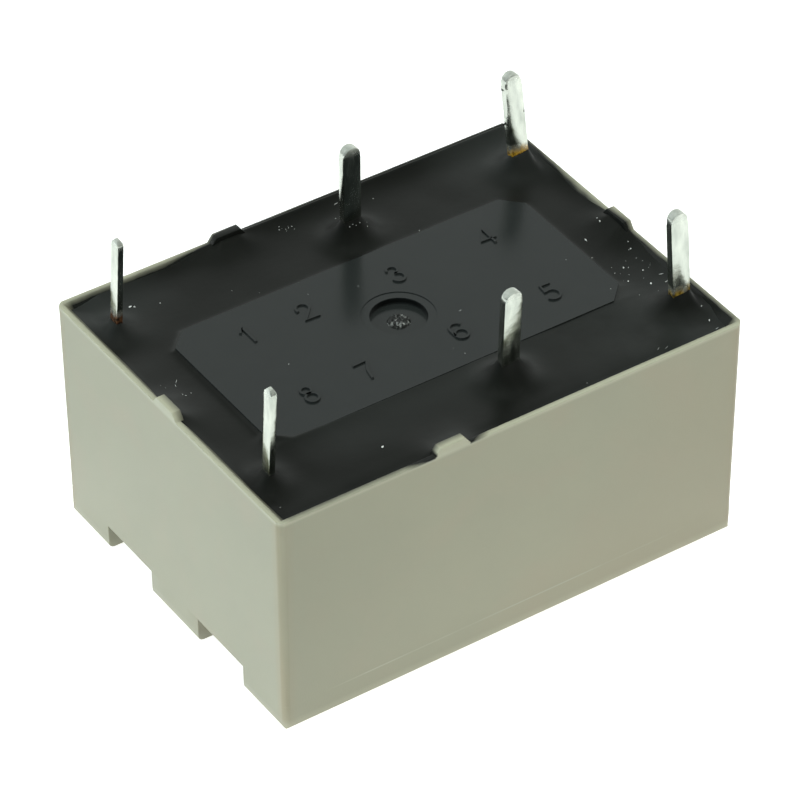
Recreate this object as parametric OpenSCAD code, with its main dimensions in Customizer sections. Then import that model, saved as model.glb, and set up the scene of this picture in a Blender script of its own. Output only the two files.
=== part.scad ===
// Sealed power relay for a circuit board, standing on its cover with the pins up.
// Millimetres. X runs along the long side, Y across it, Z up towards the pins.
// The origin is the middle of the cover's closed face. The coil pins are at -X.

/* [Cover] */
// Length of the cover at its rim
case_l = 20; // [18:0.1:24]
// Width of the cover at its rim
case_w = 15; // [13.5:0.1:18]
// Height of the rim above the closed face
case_h = 9.8; // [8.8:0.1:12]
// Thickness of the closed end
roof = 0.9; // [0.6:0.05:1.4]
// How far each side leans in towards the closed end
draft = 0.08; // [0.02:0.01:0.15]
// Thickness of the wall around the base
mouth_wall = 0.6; // [0.5:0.05:0.8]
// Width of the ledge that the base rests on
ledge = 0.25; // [0.15:0.05:0.4]
// Depth of the mouth that takes the base and the resin
mouth_h = 1.7; // [1.4:0.05:2.2]
// Size of the chamfer inside the rim
rim_chamfer = 0.4; // [0.2:0.05:0.45]
// Radius of the edges of the closed end
edge_r = 0.25; // [0.1:0.05:0.8]
// Radius of the upright corners
corner_r = 0.35; // [0.2:0.05:0.6]

/* [Stand-offs] */
// Height of the stand-off tabs above the rim
tab_h = 0.3; // [0.1:0.05:0.6]
// Thickness of a tab
tab_t = 0.33; // [0.2:0.01:0.45]
// Length of a tab at its foot
tab_foot = 1.5; // [1:0.05:2.5]
// Length of a tab at its top
tab_top = 1.05; // [0.6:0.05:1.4]
// Place of the tabs along the long walls
tab_x = -2.75; // [-5:0.05:5]
// Step between the tab and the outer face
tab_set = 0.02; // [0.01:0.01:0.1]

/* [Notches] */
// Width of a notch in the closed edge
notch_w = 3.05; // [1.5:0.05:4]
// Distance between the two notches
notch_pitch = 6.25; // [4.5:0.05:8]
// Height of a notch
notch_h = 1.1; // [0.4:0.05:1.4]
// Depth of a notch
notch_d = 1.2; // [0.6:0.05:1.6]
// Thickness of the wall behind a notch
notch_back = 0.7; // [0.4:0.05:0.9]

/* [Base] */
// Clearance of the base in the mouth
base_fit = 0.05; // [0.02:0.01:0.1]
// Thickness of the base under the resin
base_t = 0.7; // [0.6:0.05:0.9]
// Length of the raised field
field_l = 15.4; // [12:0.1:16]
// Width of the raised field
field_w = 7.4; // [6:0.1:8]
// Corner cut of the raised field
field_cut = 0.75; // [0.2:0.05:1.5]
// How far the raised field lies below the rim
field_drop = 0.1; // [0:0.05:0.3]
// Diameter of the vent recess
vent_d = 2.15; // [1:0.05:3]
// Depth of the vent recess
vent_depth = 0.3; // [0.1:0.05:0.5]
// Diameter of the sealed vent stub
vent_stub_d = 0.8; // [0.4:0.05:1]
// Height of the sealed vent stub
vent_stub_h = 0.15; // [0.05:0.05:0.3]
// Diameter of the shallow ring around the vent
vent_ring_d = 2.8; // [2.5:0.05:3.5]
// Depth of the shallow ring around the vent
vent_ring_depth = 0.03; // [0.01:0.01:0.08]
// Thickness of the barrier ribs
rib_t = 0.3; // [0.2:0.05:0.4]
// Clearance between the rocker and a barrier rib
rib_gap = 0.5; // [0.3:0.05:0.6]
// Length of the barrier ribs
rib_l = 8.6; // [4:0.1:8.8]
// End of the barrier ribs towards the contacts
rib_end = 2.6; // [1.5:0.1:2.8]

/* [Resin] */
// How far the resin lies below the rim
resin_drop = 0.28; // [0.15:0.01:0.4]
// How far the resin climbs the wall
resin_climb = 0.18; // [0.05:0.01:0.25]
// Width of the climbing strip
resin_strip = 0.6; // [0.3:0.05:0.9]
// How far the resin climbs the pins
pin_climb = 0.6; // [0.2:0.05:1]
// Spread of the resin at the foot of a pin
pin_spread = 0.5; // [0.2:0.05:0.8]
// Thickness of the resin at the top of its climb
resin_lip = 0.015; // [0.01:0.005:0.05]

/* [Pins] */
// Distance between the two rows of pins
row = 10.16; // [9.6:0.01:11]
// Place of the middle contact pins along the relay
mid_x = 1.27; // [0.8:0.01:2]
// Clearance between the end pins and the wall
pin_gap = 0.11; // [0.06:0.01:0.3]
// Width of a contact pin
pin_w = 0.8; // [0.6:0.05:1]
// Thickness of a contact terminal
pin_t = 0.4; // [0.3:0.05:0.5]
// Width of a coil pin along the relay
coil_pin_w = 0.3; // [0.2:0.05:0.4]
// Width of a coil pin across the relay
coil_pin_t = 0.5; // [0.3:0.05:0.6]
// Length of the pins above the stand-offs
pin_out = 3.6; // [2.5:0.1:5]
// Outward lean of contact pin 4
lean_4 = 7; // [0:0.5:10]
// Outward lean of contact pin 5
lean_5 = -3.4; // [-10:0.1:10]
// Inward lean of the coil pins
lean_coil = 2; // [0:0.5:6]
// Clearance under the foot of an end pin
pin_foot_gap = 0.1; // [0.05:0.01:0.3]

/* [Coil] */
// Clearance between cover and coil
coil_gap = 0.1; // [0.05:0.01:0.3]
// Distance from the cover's inside to the core ends
core_gap = 1.05; // [0.9:0.05:1.3]
// Thickness of the core
core_t = 1; // [0.6:0.05:1.2]
// Width of the core inside the coil
core_w = 2.6; // [2:0.1:3]
// Thickness of the upright core legs
leg_t = 0.9; // [0.6:0.05:1.2]
// Gap between a core leg and the bobbin
leg_gap = 0.1; // [0.05:0.01:0.2]
// Wall of the bobbin tube
tube_t = 0.4; // [0.25:0.05:0.5]
// Thickness of the end flanges
flange_t = 0.8; // [0.5:0.05:1]
// Thickness of the middle flange
mid_flange_t = 1.6; // [1.4:0.1:2.4]
// Width of the bobbin flanges
flange_w = 7.8; // [7:0.1:8.4]
// Distance of a cheek from the contact spring
cheek_gap = 0.39; // [0.2:0.01:0.5]
// Thickness of the cheeks that stand against the base
cheek_t = 1; // [0.5:0.05:1.1]
// How far the winding lies inside the sides of the flanges
wind_in = 0.3; // [0.1:0.05:0.5]
// How far the winding lies inside the top of the flanges
wind_low = 0.1; // [0.05:0.05:0.3]
// Clearance at each end of a winding
wind_gap = 0.05; // [0.02:0.01:0.1]
// Corner radius of a winding
wind_r = 0.6; // [0.3:0.05:1]
// Thickness of the ears that hold the coil posts
ear_t = 1; // [0.6:0.05:1.4]
// Width of an ear beyond its post
ear_rim = 0.37; // [0.2:0.01:0.5]
// Step of the coil post towards the coil
post_step = 0.64; // [0.5:0.01:0.7]
// Radius of the coil wire ends
wire_r = 0.06; // [0.04:0.01:0.08]
// Turns of wire on a coil post
wire_turns = 4; // [2:1:6]
// Pitch of those turns as a share of the wire's thickness
wire_pitch = 0.9; // [0.8:0.05:0.95]
// Distance of a wire end from the end of its winding
lead_in = 0.35; // [0.2:0.05:0.6]
// Depth of a wire end inside its winding
lead_deep = 0.12; // [0.08:0.01:0.2]
// Width of the slot that lets the wire cross the middle flange
cross_slot = 0.5; // [0.3:0.05:0.8]

/* [Armature] */
// Full turn of the armature in degrees
swing = 4; // [3:0.1:5]
// Gap between rocker and base
top_gap = 0.3; // [0.2:0.05:0.5]
// Height of the rocker
rocker_h = 2.4; // [2:0.05:2.8]
// Gap between rocker and bobbin
floor_gap = 0.2; // [0.15:0.05:0.4]
// Length of the rocker towards the coil end
rocker_l0 = 3.6; // [3:0.1:5]
// Length of the rocker towards the contact end
rocker_l1 = 4.2; // [4:0.1:5]
// Width of the rocker
rocker_w = 4.8; // [4.4:0.1:5]
// Thickness of a pole plate
plate_t = 0.8; // [0.5:0.05:0.9]
// Height of a pole plate
plate_h = 1.6; // [1.2:0.05:1.9]
// Width of the magnet between the plates
magnet_w = 2.24; // [2.1:0.02:2.5]
// Length of the magnet
magnet_l = 4.4; // [2:0.1:6]
// Height of the magnet
magnet_h = 1.4; // [1:0.05:1.6]
// Gap left between pole plate and core leg
pole_gap = 0.035; // [0.02:0.005:0.05]
// Diameter of the trunnions
trunnion_d = 0.8; // [0.6:0.02:1]
// Radial clearance of a trunnion in its hole
trunnion_fit = 0.03; // [0.01:0.01:0.06]
// Length of a trunnion in its hole
trunnion_l = 0.6; // [0.4:0.05:0.65]
// Diameter of the thrust collars
collar_d = 1.6; // [1.2:0.1:2]
// End play of the rocker
end_play = 0.03; // [0.01:0.01:0.1]
// Place of the two noses along the rocker
nose_x = 3.6; // [3.4:0.05:3.8]
// Radius of a nose
nose_r = 0.3; // [0.2:0.05:0.4]
// Height of a nose arm
nose_h = 1.4; // [0.8:0.1:1.8]
// Gap between nose and spring
nose_gap = 0.03; // [0.02:0.01:0.05]

/* [Springs and contacts] */
// Step of the spring terminals towards the middle
spring_step = 0.83; // [0.7:0.01:0.9]
// Length of the spring terminal's inner plate
spring_plate_l = 1.15; // [1:0.05:1.4]
// Gap between spring and terminal plate
spring_gap = 0.04; // [0.03:0.01:0.06]
// Thickness of a spring
spring_t = 0.12; // [0.08:0.01:0.16]
// Width of a spring
spring_w = 2; // [1.4:0.1:2.2]
// Free end of a spring
spring_x0 = 1.5; // [1.2:0.1:1.7]
// Place of the contacts along the relay
contact_x = 2.3; // [2.1:0.05:2.4]
// Height of the contacts below the middle of the rocker
contact_drop = 0.2; // [0:0.05:0.3]
// Diameter of a contact at its foot
contact_d = 1.6; // [1.2:0.05:1.7]
// Diameter of a moving contact's face
contact_face_d = 1; // [0.6:0.05:1.2]
// Diameter of a fixed contact's face
fixed_face_d = 1.2; // [0.8:0.05:1.4]
// Height of a moving contact
contact_h = 0.24; // [0.15:0.01:0.3]
// Gap left between closed contacts
contact_gap = 0.026; // [0.015:0.001:0.04]
// Diameter of a contact shank
shank_d = 0.7; // [0.4:0.05:0.9]
// Diameter of a contact's tail
tail_d = 1.05; // [0.9:0.05:1.2]
// Height of a contact's tail
tail_h = 0.12; // [0.06:0.01:0.2]
// Length of the fixed contact plate
fixed_plate_l = 2.33; // [2.1:0.01:2.6]
// Drop of the fixed contact plate below the base
fixed_plate_h = 2.9; // [2.6:0.05:3]
// Diameter of a spring rivet
rivet_d = 0.5; // [0.4:0.02:0.6]
// Diameter of a spring rivet's head
rivet_head_d = 0.9; // [0.8:0.05:1]
// Height of a spring rivet's head
rivet_head_h = 0.2; // [0.1:0.05:0.25]
// Clearance of the rivet in the spring
rivet_fit = 0.04; // [0.02:0.01:0.08]

/* [Hidden] */
$fn = 48;
far = 40;
eps = 0.01;
// how far a cut runs past the face it opens
past = 1;
// how far the corner cones pass the walls, so that the faces cross
corner_cross = 0.002;
// inside of the cover
wall = mouth_wall + ledge;
in_x = case_l/2 - wall;
in_y = case_w/2 - wall;
mouth_x = case_l/2 - mouth_wall;
mouth_y = case_w/2 - mouth_wall;
seat_z = case_h - mouth_h;
field_z = case_h - field_drop;
resin_z = case_h - resin_drop;
// pins
pin_x = mouth_x - pin_gap - pin_w/2;
row_y = row/2;
tip_z = case_h + tab_h + pin_out;
bend_z = resin_z + pin_climb/2;
// rocker
rocker_z1 = seat_z - top_gap;
rocker_z0 = rocker_z1 - rocker_h;
rocker_mid = (rocker_z0 + rocker_z1)/2;
// coil
coil_z0 = roof + coil_gap;
coil_z1 = rocker_z0 - floor_gap;
coil_mid = (coil_z0 + coil_z1)/2;
core_x = in_x - core_gap;
flange_x = core_x - leg_t - leg_gap;
wind_x0 = mid_flange_t/2 + wind_gap;
wind_x1 = flange_x - flange_t - wind_gap;
wind_y = flange_w/2 - wind_in;
wind_z = (coil_z1 - coil_z0)/2 - wind_low;
post_x = pin_x - post_step;
ear_z1 = coil_z1 + wire_r;
ear_z0 = ear_z1 - ear_t;
wire_z = ear_z1 + wire_r + eps;
// springs and contacts
term_in = row_y - pin_t/2;
plate_y = term_in - spring_step;
blade_y1 = plate_y - spring_gap;
blade_y0 = blade_y1 - spring_t;
plate_x1 = in_x - coil_gap;
plate_x0 = plate_x1 - spring_plate_l;
hinge_x = (plate_x0 + plate_x1)/2 - spring_gap/2;
hinge_y = (blade_y0 + blade_y1)/2;
blade_x1 = plate_x1 - spring_gap;
contact_z = rocker_mid - contact_drop;
blade_turn = swing*nose_x/(hinge_x - nose_x);
nose_tip = blade_y0 + (hinge_x - nose_x)*sin(blade_turn/2) - nose_gap;
closed_reach = hinge_x - contact_x + contact_face_d/2;
closed_y = hinge_y + closed_reach*sin(blade_turn) + (blade_y1 + contact_h - hinge_y)*cos(blade_turn);
fixed_y = closed_y + contact_gap;
leg_y = magnet_w/2*cos(swing/2) - core_x*sin(swing/2) - pole_gap;

// a box centred on x and y
module block(hx, hy, z0, z1) {
  translate([-hx, -hy, z0]) cube([2*hx, 2*hy, z1 - z0]);
}

// a box between two corners
module span(a, b) {
  translate(a) cube(b - a);
}

// a round bar along y, from y0 to y1
module bar_y(x, z, y0, y1, d0, d1) {
  translate([x, y0, z]) rotate([-90, 0, 0]) cylinder(h = y1 - y0, d1 = d0, d2 = d1);
}

// a box whose sides lean
module frustum(x0, y0, z0, x1, y1, z1) {
  polyhedron(
    points = [[-x0, -y0, z0], [x0, -y0, z0], [x0, y0, z0], [-x0, y0, z0],
      [-x1, -y1, z1], [x1, -y1, z1], [x1, y1, z1], [-x1, y1, z1]],
    faces = [[0, 1, 2, 3], [7, 6, 5, 4], [0, 4, 5, 1], [1, 5, 6, 2], [2, 6, 7, 3], [3, 7, 4, 0]]);
}

// the near side is the far side mirrored
module flip(s) {
  mirror([0, s < 0 ? 1 : 0, 0]) children();
}

// upright profile of the cover, leaning sides and rounded lower corners
module cover_profile(half) {
  lean = atan(draft/case_h);
  cx = half - draft + edge_r*tan(lean) - edge_r/cos(lean);
  sx = cx + edge_r*cos(lean);
  sz = edge_r - edge_r*sin(lean);
  polygon([[-cx, 0], [cx, 0], [sx, sz], [half, case_h], [-half, case_h], [-sx, sz]]);
  translate([cx, edge_r]) circle(r = edge_r);
  translate([-cx, edge_r]) circle(r = edge_r);
}

// block as high as the cover, its corner cones leaning in with the walls
module cover_corners() {
  cx = case_l/2 - corner_r;
  cy = case_w/2 - corner_r;
  top_r = corner_r + corner_cross;
  block(cx, case_w/2, 0, case_h);
  block(case_l/2, cy, 0, case_h);
  for (x = [-cx, cx]) for (y = [-cy, cy])
    translate([x, y, 0]) cylinder(h = case_h, r1 = top_r - draft, r2 = top_r);
}

module cover_block() {
  intersection() {
    cover_corners();
    translate([0, far/2, 0]) rotate([90, 0, 0]) linear_extrude(far) cover_profile(case_l/2);
    translate([-far/2, 0, 0]) rotate([90, 0, 90]) linear_extrude(far) cover_profile(case_w/2);
  }
}

// one stand-off tab, lying along x with its outer face at y = out
module tab(out) {
  z0 = case_h - rim_chamfer;
  translate([0, out - tab_set, 0]) rotate([90, 0, 0]) linear_extrude(tab_t)
    polygon([[-tab_foot/2, z0], [tab_foot/2, z0], [tab_foot/2, case_h], [tab_top/2, case_h + tab_h],
      [-tab_top/2, case_h + tab_h], [-tab_foot/2, case_h]]);
}

module tabs() {
  for (s = [-1, 1]) {
    translate([tab_x, 0, 0]) flip(s) tab(case_w/2);
    rotate([0, 0, 90*s]) tab(case_l/2);
  }
}

// the mouth above the ledge, opening out at the rim
module mouth(z0, z1) {
  block(mouth_x, mouth_y, z0, min(z1, case_h - rim_chamfer));
  zc = case_h - rim_chamfer;
  up = z1 - zc;
  frustum(mouth_x, mouth_y, zc, mouth_x + up, mouth_y + up, z1);
}

module notch_backs() {
  for (s = [-1, 1])
    span([-case_l/2, s*notch_pitch/2 - notch_w/2 - notch_back, 0],
      [notch_d + notch_back - case_l/2, s*notch_pitch/2 + notch_w/2 + notch_back, notch_h + notch_back]);
}

module notches() {
  for (s = [-1, 1])
    span([-case_l, s*notch_pitch/2 - notch_w/2, -past],
      [notch_d - case_l/2, s*notch_pitch/2 + notch_w/2, notch_h]);
}

module cover() {
  color("#a8ac97") {
    difference() {
      cover_block();
      difference() {
        block(in_x, in_y, roof, seat_z + eps);
        notch_backs();
      }
      mouth(seat_z, case_h + past);
      notches();
    }
    tabs();
  }
}

// plan of the raised field of the base
module field_plan() {
  hx = field_l/2;
  hy = field_w/2;
  c = field_cut;
  polygon([[-hx, c - hy], [c - hx, -hy], [hx - c, -hy], [hx, c - hy],
    [hx, hy - c], [hx - c, hy], [c - hx, hy], [-hx, hy - c]]);
}

// what the base and the resin leave free for the terminals
module all_terminals() {
  coil_terminal(1);
  coil_terminal(-1);
  fixed_terminal(1);
  fixed_terminal(-1);
  spring_terminal(1, lean_4);
  spring_terminal(-1, lean_5);
}

// a slot for an end pin, open to the edge of the base
module end_slot(s) {
  flip(s)
    span([pin_x - pin_w/2, row_y - pin_t/2, seat_z - past],
      [case_l, row_y + pin_t/2, seat_z + base_t + past]);
}

module base() {
  rib_y = rocker_w/2 + rib_gap;
  color("#3c3f3e") difference() {
    union() {
      block(mouth_x - base_fit, mouth_y - base_fit, seat_z, seat_z + base_t);
      translate([0, 0, seat_z]) linear_extrude(field_z - seat_z) field_plan();
      for (s = [-1, 1]) flip(s)
        span([rib_end - rib_l, rib_y, coil_z1 + floor_gap], [rib_end, rib_y + rib_t, seat_z + eps]);
    }
    difference() {
      translate([0, 0, field_z - vent_depth]) cylinder(h = past, d = vent_d);
      translate([0, 0, field_z - vent_depth - eps])
        cylinder(h = vent_stub_h + eps, d1 = vent_stub_d, d2 = vent_stub_d/2);
    }
    translate([0, 0, field_z - vent_ring_depth]) cylinder(h = past, d = vent_ring_d);
    translate([0, 0, seat_z - past])
      cylinder(h = past + trunnion_l + trunnion_fit, d = trunnion_d + 2*trunnion_fit);
    all_terminals();
    end_slot(1);
    end_slot(-1);
  }
}

// resin drawn up around a pin
module resin_cone(x, y, d) {
  translate([x, y, resin_z - eps]) cylinder(h = pin_climb, d1 = d + 2*pin_spread, d2 = d + 2*resin_lip);
}

module sealing_resin() {
  contact_round = sqrt(pin_w*pin_w + pin_t*pin_t);
  coil_round = sqrt(coil_pin_w*coil_pin_w + coil_pin_t*coil_pin_t);
  strip_z = resin_z + resin_climb;
  strip_out = rim_chamfer - resin_drop;
  color("#222322") difference() {
    union() {
      mouth(seat_z + base_t, resin_z);
      difference() {
        mouth(seat_z + base_t, strip_z);
        frustum(mouth_x + strip_out - resin_strip, mouth_y + strip_out - resin_strip, resin_z,
          mouth_x + strip_out + resin_climb, mouth_y + strip_out + resin_climb, strip_z + eps);
      }
      intersection() {
        mouth(seat_z + base_t, case_h + past);
        for (s = [-1, 1]) {
          resin_cone(pin_x, s*row_y, contact_round);
          resin_cone(mid_x, s*row_y, contact_round);
          resin_cone(-pin_x, s*row_y, coil_round);
        }
      }
    }
    translate([0, 0, seat_z]) linear_extrude(2*mouth_h) field_plan();
    all_terminals();
    tabs();
  }
}

// a flat contact pin from z0 to its round tip, leaning outwards above the resin
module contact_pin(x, z0, lean) {
  rise = tip_z - bend_z;
  run = (rise + past)*tan(lean);
  translate([x, row_y, 0]) intersection() {
    translate([-pin_w, 0, 0]) rotate([90, 0, 90]) linear_extrude(2*pin_w)
      polygon([[-pin_t/2, z0], [pin_t/2, z0], [pin_t/2, bend_z], [pin_t/2 + run, tip_z + past],
        [run - pin_t/2, tip_z + past], [-pin_t/2, bend_z]]);
    translate([0, far/2, 0]) rotate([90, 0, 0]) linear_extrude(far) {
      translate([-pin_w/2, z0]) square([pin_w, tip_z - pin_w/2 - z0]);
      translate([0, tip_z - pin_w/2]) circle(d = pin_w);
    }
  }
}

module fixed_terminal(s) {
  flip(s) difference() {
    union() {
      contact_pin(mid_x, seat_z - pin_t, 0);
      span([mid_x - pin_w/2, term_in, seat_z - fixed_plate_h],
        [mid_x - pin_w/2 + fixed_plate_l, term_in + pin_t, seat_z]);
    }
    bar_y(contact_x, contact_z, 0, far, shank_d, shank_d);
  }
}

module spring_terminal(s, lean) {
  flip(s) difference() {
    union() {
      contact_pin(pin_x, seat_z + pin_foot_gap, lean);
      span([pin_x - pin_w/2, term_in, seat_z - pin_t], [plate_x1, term_in + pin_t, seat_z + pin_foot_gap]);
      span([plate_x0, plate_y, seat_z - pin_t], [plate_x1, term_in + pin_t, seat_z]);
      span([plate_x0, plate_y, contact_z - spring_w/2], [plate_x1, plate_y + pin_t, seat_z]);
    }
    bar_y(hinge_x, contact_z, 0, far, rivet_d, rivet_d);
  }
}

// a coil pin, stepped in to the post that carries the wire
module coil_terminal(s) {
  rise = tip_z - bend_z;
  run = rise*tan(lean_coil);
  w = coil_pin_w/2;
  t = coil_pin_t/2;
  low = seat_z - pin_t;
  flip(s) {
    intersection() {
      translate([-pin_x, far/2, 0]) rotate([90, 0, 0]) linear_extrude(far)
        polygon([[-w, low], [w, low], [w, bend_z], [w + run, tip_z - w], [w/2 + run, tip_z],
          [run - w/2, tip_z], [run - w, tip_z - w], [-w, bend_z]]);
      translate([-far/2, row_y, 0]) rotate([90, 0, 90]) linear_extrude(far)
        polygon([[-t, low], [t, low], [t, tip_z - w], [t - w/2, tip_z], [w/2 - t, tip_z], [-t, tip_z - w]]);
    }
    span([-pin_x - w, row_y - t, low], [w - post_x, row_y + t, seat_z]);
    span([-post_x - w, row_y - t, ear_z0], [w - post_x, row_y + t, seat_z]);
  }
}

// a winding-shaped prism along x with rounded corners
module wound(x0, x1, hy, hz, r) {
  translate([x0, 0, coil_mid]) rotate([90, 0, 90]) linear_extrude(x1 - x0) {
    square([2*hy - 2*r, 2*hz], center = true);
    square([2*hy, 2*hz - 2*r], center = true);
    for (y = [-1, 1]) for (z = [-1, 1])
      translate([y*(hy - r), z*(hz - r)]) circle(r = r);
  }
}

module bobbin_tube(x) {
  translate([0, 0, coil_mid]) cube([2*x, core_w + 2*tube_t, core_t + 2*tube_t], center = true);
}

module coil_bobbin() {
  cheek_y = blade_y0 - cheek_gap;
  ear_y = row_y + coil_pin_t/2 + ear_rim;
  color("#20211f") difference() {
    union() {
      bobbin_tube(flange_x);
      block(mid_flange_t/2, flange_w/2, coil_z0, coil_z1);
      for (m = [0, 1]) mirror([m, 0, 0]) {
        span([flange_x - flange_t, -flange_w/2, coil_z0], [flange_x, flange_w/2, coil_z1]);
        for (s = [-1, 1]) flip(s)
          span([flange_x - flange_t, cheek_y - cheek_t, coil_z0], [flange_x, cheek_y, seat_z]);
      }
      for (s = [-1, 1]) flip(s)
        span([coil_gap - in_x, cheek_y, ear_z0], [flange_t - flange_x, ear_y, ear_z1]);
    }
    core();
    coil_terminal(1);
    coil_terminal(-1);
    translate([0, 0, coil_z1 - trunnion_l - trunnion_fit])
      cylinder(h = trunnion_l + past, d = trunnion_d + 2*trunnion_fit);
    span([-mid_flange_t, wind_y - lead_deep, coil_mid - cross_slot/2],
      [mid_flange_t, flange_w, coil_mid + cross_slot/2]);
  }
}

module winding_shape() {
  difference() {
    wound(wind_x0, wind_x1, wind_y, wind_z, wind_r);
    bobbin_tube(far);
  }
}

module winding_left() {
  color("#b5602c") mirror([1, 0, 0]) winding_shape();
}

module winding_right() {
  color("#b5602c") winding_shape();
}

// U of soft iron through the bobbin, its legs standing between the pole plates
module core() {
  leg_z1 = rocker_mid + plate_h/2;
  color("#8d8f90") {
    translate([0, 0, coil_mid]) cube([2*core_x, core_w, core_t], center = true);
    for (m = [0, 1]) mirror([m, 0, 0]) {
      span([core_x - leg_t, -leg_y, coil_mid], [core_x, leg_y, leg_z1]);
      span([core_x - leg_t, -core_w/2, coil_mid], [core_x, core_w/2, coil_z1]);
    }
  }
}

// wire end: out of the winding, across the ear and round the post
module coil_lead(s) {
  post_r = sqrt(coil_pin_w*coil_pin_w + coil_pin_t*coil_pin_t)/2 + eps;
  ring = post_r + wire_r;
  x0 = wind_x1 - lead_in;
  y0 = wind_y - lead_deep;
  y1 = row_y - ring;
  run = sqrt(pow(post_x - x0, 2) + pow(y1 - y0, 2));
  turn = atan2(y1 - y0, x0 - post_x);
  color("#c8783a") flip(s) difference() {
    union() {
      translate([-x0, y0, coil_mid]) cylinder(h = wire_z - coil_mid, r = wire_r);
      translate([-x0, y0, wire_z]) sphere(r = wire_r);
      translate([-x0, y0, wire_z]) rotate([0, 0, turn]) rotate([0, 90, 0]) cylinder(h = run, r = wire_r);
      for (i = [0 : wire_turns - 1])
        translate([-post_x, row_y, wire_z + i*wire_pitch*2*wire_r])
          rotate_extrude() translate([ring, 0]) circle(r = wire_r);
    }
    wound(-wind_x1, -wind_x0, wind_y, wind_z, wind_r);
  }
}

// wire that joins the two windings through the slot in the middle flange
module coil_crossover() {
  x1 = wind_x0 + lead_in;
  y1 = wind_y + wire_r + eps;
  color("#c8783a") difference() {
    union() {
      translate([-x1, y1, coil_mid]) rotate([0, 90, 0]) cylinder(h = 2*x1, r = wire_r);
      for (m = [-1, 1]) {
        translate([m*x1, y1, coil_mid]) sphere(r = wire_r);
        bar_y(m*x1, coil_mid, wind_y - lead_deep, y1, 2*wire_r, 2*wire_r);
      }
    }
    wound(-wind_x1, -wind_x0, wind_y, wind_z, wind_r);
    wound(wind_x0, wind_x1, wind_y, wind_z, wind_r);
  }
}

// the armature is drawn turned back by half its swing
module rest_turn() {
  rotate([0, 0, -swing/2]) children();
}

module plate_shape(s) {
  flip(s)
    span([-core_x, magnet_w/2, rocker_mid - plate_h/2],
      [core_x, magnet_w/2 + plate_t, rocker_mid + plate_h/2]);
}

module magnet_shape() {
  block(magnet_l/2, magnet_w/2, rocker_mid - magnet_h/2, rocker_mid + magnet_h/2);
}

module armature_carrier() {
  color("#d9d4c4") rest_turn() difference() {
    union() {
      span([-rocker_l0, -rocker_w/2, rocker_z0], [rocker_l1, rocker_w/2, rocker_z1]);
      for (s = [-1, 1]) flip(s) {
        span([nose_x - nose_r, 0, rocker_mid - nose_h/2],
          [nose_x + nose_r, nose_tip - nose_r, rocker_mid + nose_h/2]);
        translate([nose_x, nose_tip - nose_r, rocker_mid - nose_h/2]) cylinder(h = nose_h, r = nose_r);
      }
      translate([0, 0, coil_z1 + end_play]) cylinder(h = seat_z - coil_z1 - 2*end_play, d = collar_d);
      translate([0, 0, coil_z1 - trunnion_l]) cylinder(h = seat_z - coil_z1 + 2*trunnion_l, d = trunnion_d);
    }
    plate_shape(1);
    plate_shape(-1);
    magnet_shape();
  }
}

module armature_plate_front() {
  color("#9a9c9d") rest_turn() plate_shape(-1);
}

module armature_plate_rear() {
  color("#9a9c9d") rest_turn() plate_shape(1);
}

module magnet() {
  color("#4a4a4d") rest_turn() magnet_shape();
}

// the break side rests closed, turned out at its root
module spring_pose(s) {
  flip(s) translate([hinge_x, hinge_y, 0]) rotate([0, 0, s < 0 ? -blade_turn : 0])
    translate([-hinge_x, -hinge_y, 0]) children();
}

module spring_shape(s) {
  color("#c9a24b") spring_pose(s) difference() {
    span([spring_x0, blade_y0, contact_z - spring_w/2], [blade_x1, blade_y1, contact_z + spring_w/2]);
    bar_y(hinge_x, contact_z, 0, far, rivet_d + 2*rivet_fit, rivet_d + 2*rivet_fit);
    bar_y(contact_x, contact_z, 0, far, shank_d, shank_d);
  }
}

module moving_contact(s) {
  color("#d3d2cc") spring_pose(s) {
    bar_y(contact_x, contact_z, blade_y1, blade_y1 + contact_h, contact_d, contact_face_d);
    bar_y(contact_x, contact_z, blade_y0 - tail_h/2, blade_y1 + contact_h/2, shank_d, shank_d);
    bar_y(contact_x, contact_z, blade_y0 - tail_h, blade_y0, tail_d, tail_d);
  }
}

module fixed_contact(s) {
  color("#d3d2cc") flip(s) {
    bar_y(contact_x, contact_z, fixed_y, term_in, fixed_face_d, contact_d);
    bar_y(contact_x, contact_z, fixed_y, term_in + pin_t + tail_h/2, shank_d, shank_d);
    bar_y(contact_x, contact_z, term_in + pin_t, term_in + pin_t + tail_h, tail_d, tail_d);
  }
}

module spring_rivet(s) {
  head_y = blade_y0 - spring_gap;
  color("#b9964a") flip(s) {
    bar_y(hinge_x, contact_z, head_y - rivet_head_h, head_y, rivet_head_d, rivet_head_d);
    bar_y(hinge_x, contact_z, head_y - eps, plate_y + pin_t + tail_h/2, rivet_d, rivet_d);
    bar_y(hinge_x, contact_z, plate_y + pin_t, plate_y + pin_t + tail_h, rivet_head_d, rivet_head_d);
  }
}

module coil_terminal_1() { color("#c3c6c2") coil_terminal(1); }
module coil_terminal_8() { color("#c3c6c2") coil_terminal(-1); }
module contact_terminal_3() { color("#c3c6c2") fixed_terminal(1); }
module contact_terminal_4() { color("#c3c6c2") spring_terminal(1, lean_4); }
module contact_terminal_5() { color("#c3c6c2") spring_terminal(-1, lean_5); }
module contact_terminal_6() { color("#c3c6c2") fixed_terminal(-1); }
module coil_lead_1() { coil_lead(1); }
module coil_lead_8() { coil_lead(-1); }
module make_spring() { spring_shape(1); }
module break_spring() { spring_shape(-1); }
module make_moving_contact() { moving_contact(1); }
module break_moving_contact() { moving_contact(-1); }
module make_fixed_contact() { fixed_contact(1); }
module break_fixed_contact() { fixed_contact(-1); }
module make_spring_rivet() { spring_rivet(1); }
module break_spring_rivet() { spring_rivet(-1); }

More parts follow.
